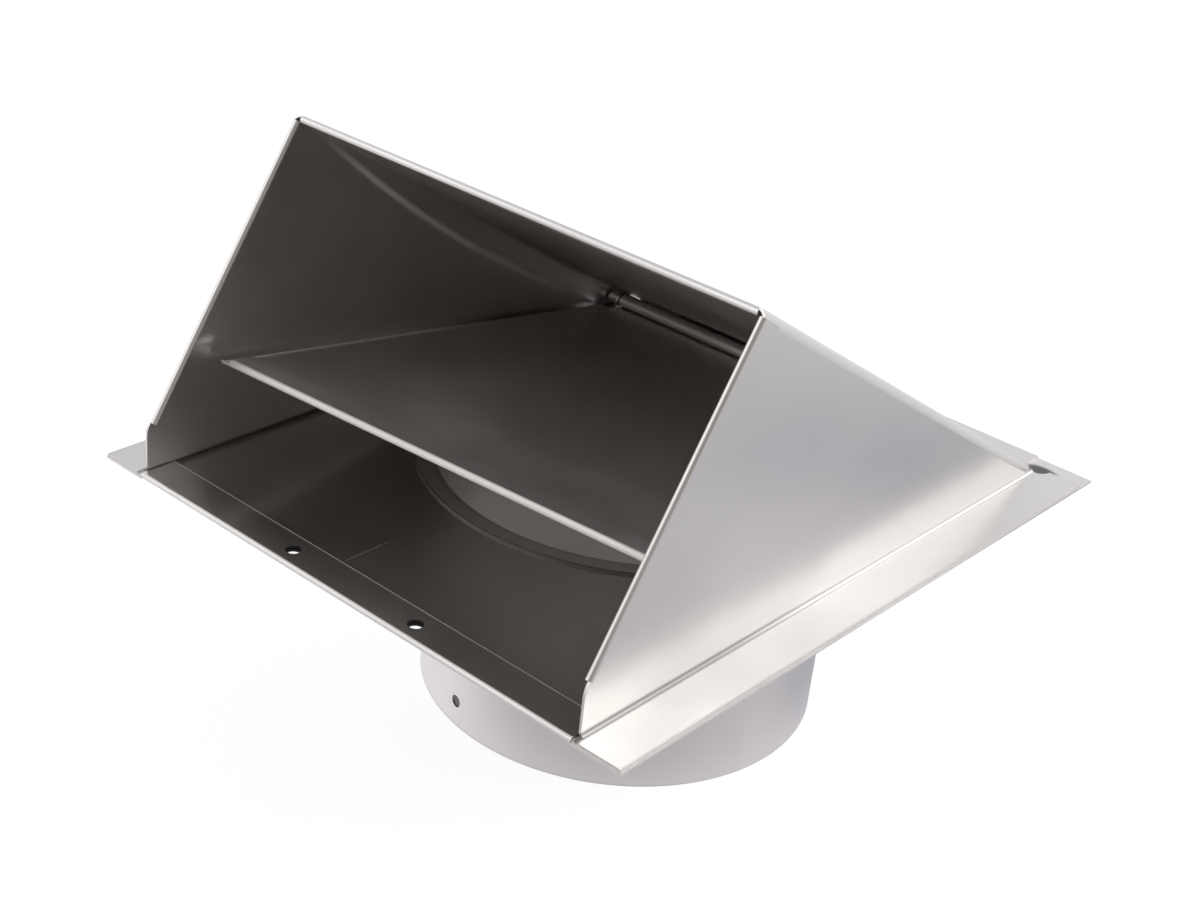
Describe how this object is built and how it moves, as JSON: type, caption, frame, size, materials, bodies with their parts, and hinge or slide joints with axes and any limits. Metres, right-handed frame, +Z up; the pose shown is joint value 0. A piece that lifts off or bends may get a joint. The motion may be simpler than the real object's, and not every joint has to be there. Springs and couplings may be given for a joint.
{
  "type": "dryer vent hood",
  "caption": "Sheet-metal wall hood for a dryer duct: a sloping roof and cheeks folded over an open mouth, a round duct collar behind, and a hinged damper flap inside.",
  "frame": {"origin": "centre of the duct collar's open end, on the duct axis; the hood stands on this end", "axes": "+Z up the duct axis and out of the wall, -Y towards the open mouth (down on the wall), +X to the right seen from the mouth"},
  "size_m": [0.158, 0.18, 0.1386],
  "materials": {
    "plate_steel": "smooth cold-rolled stainless sheet",
    "hood_steel": "smooth cold-rolled stainless sheet",
    "collar_steel": "smooth cold-rolled stainless sheet",
    "flap_steel": "smooth cold-rolled stainless sheet",
    "rod_steel": "drawn steel wire"
  },
  "bodies": {
    "hood": {"wall_plate": "plate_steel", "hood_shell": "hood_steel", "duct_collar": "collar_steel", "hinge_rod": "rod_steel"},
    "flap": {"damper_flap": "flap_steel"}
  },
  "joints": [
    {"name": "flap_hinge", "type": "hinge", "parent": "hood", "child": "flap", "pos_m": [0, 0.064, 0.0638], "axis": [-1, 0, 0], "range_deg": [-9, 20]}
  ]
}
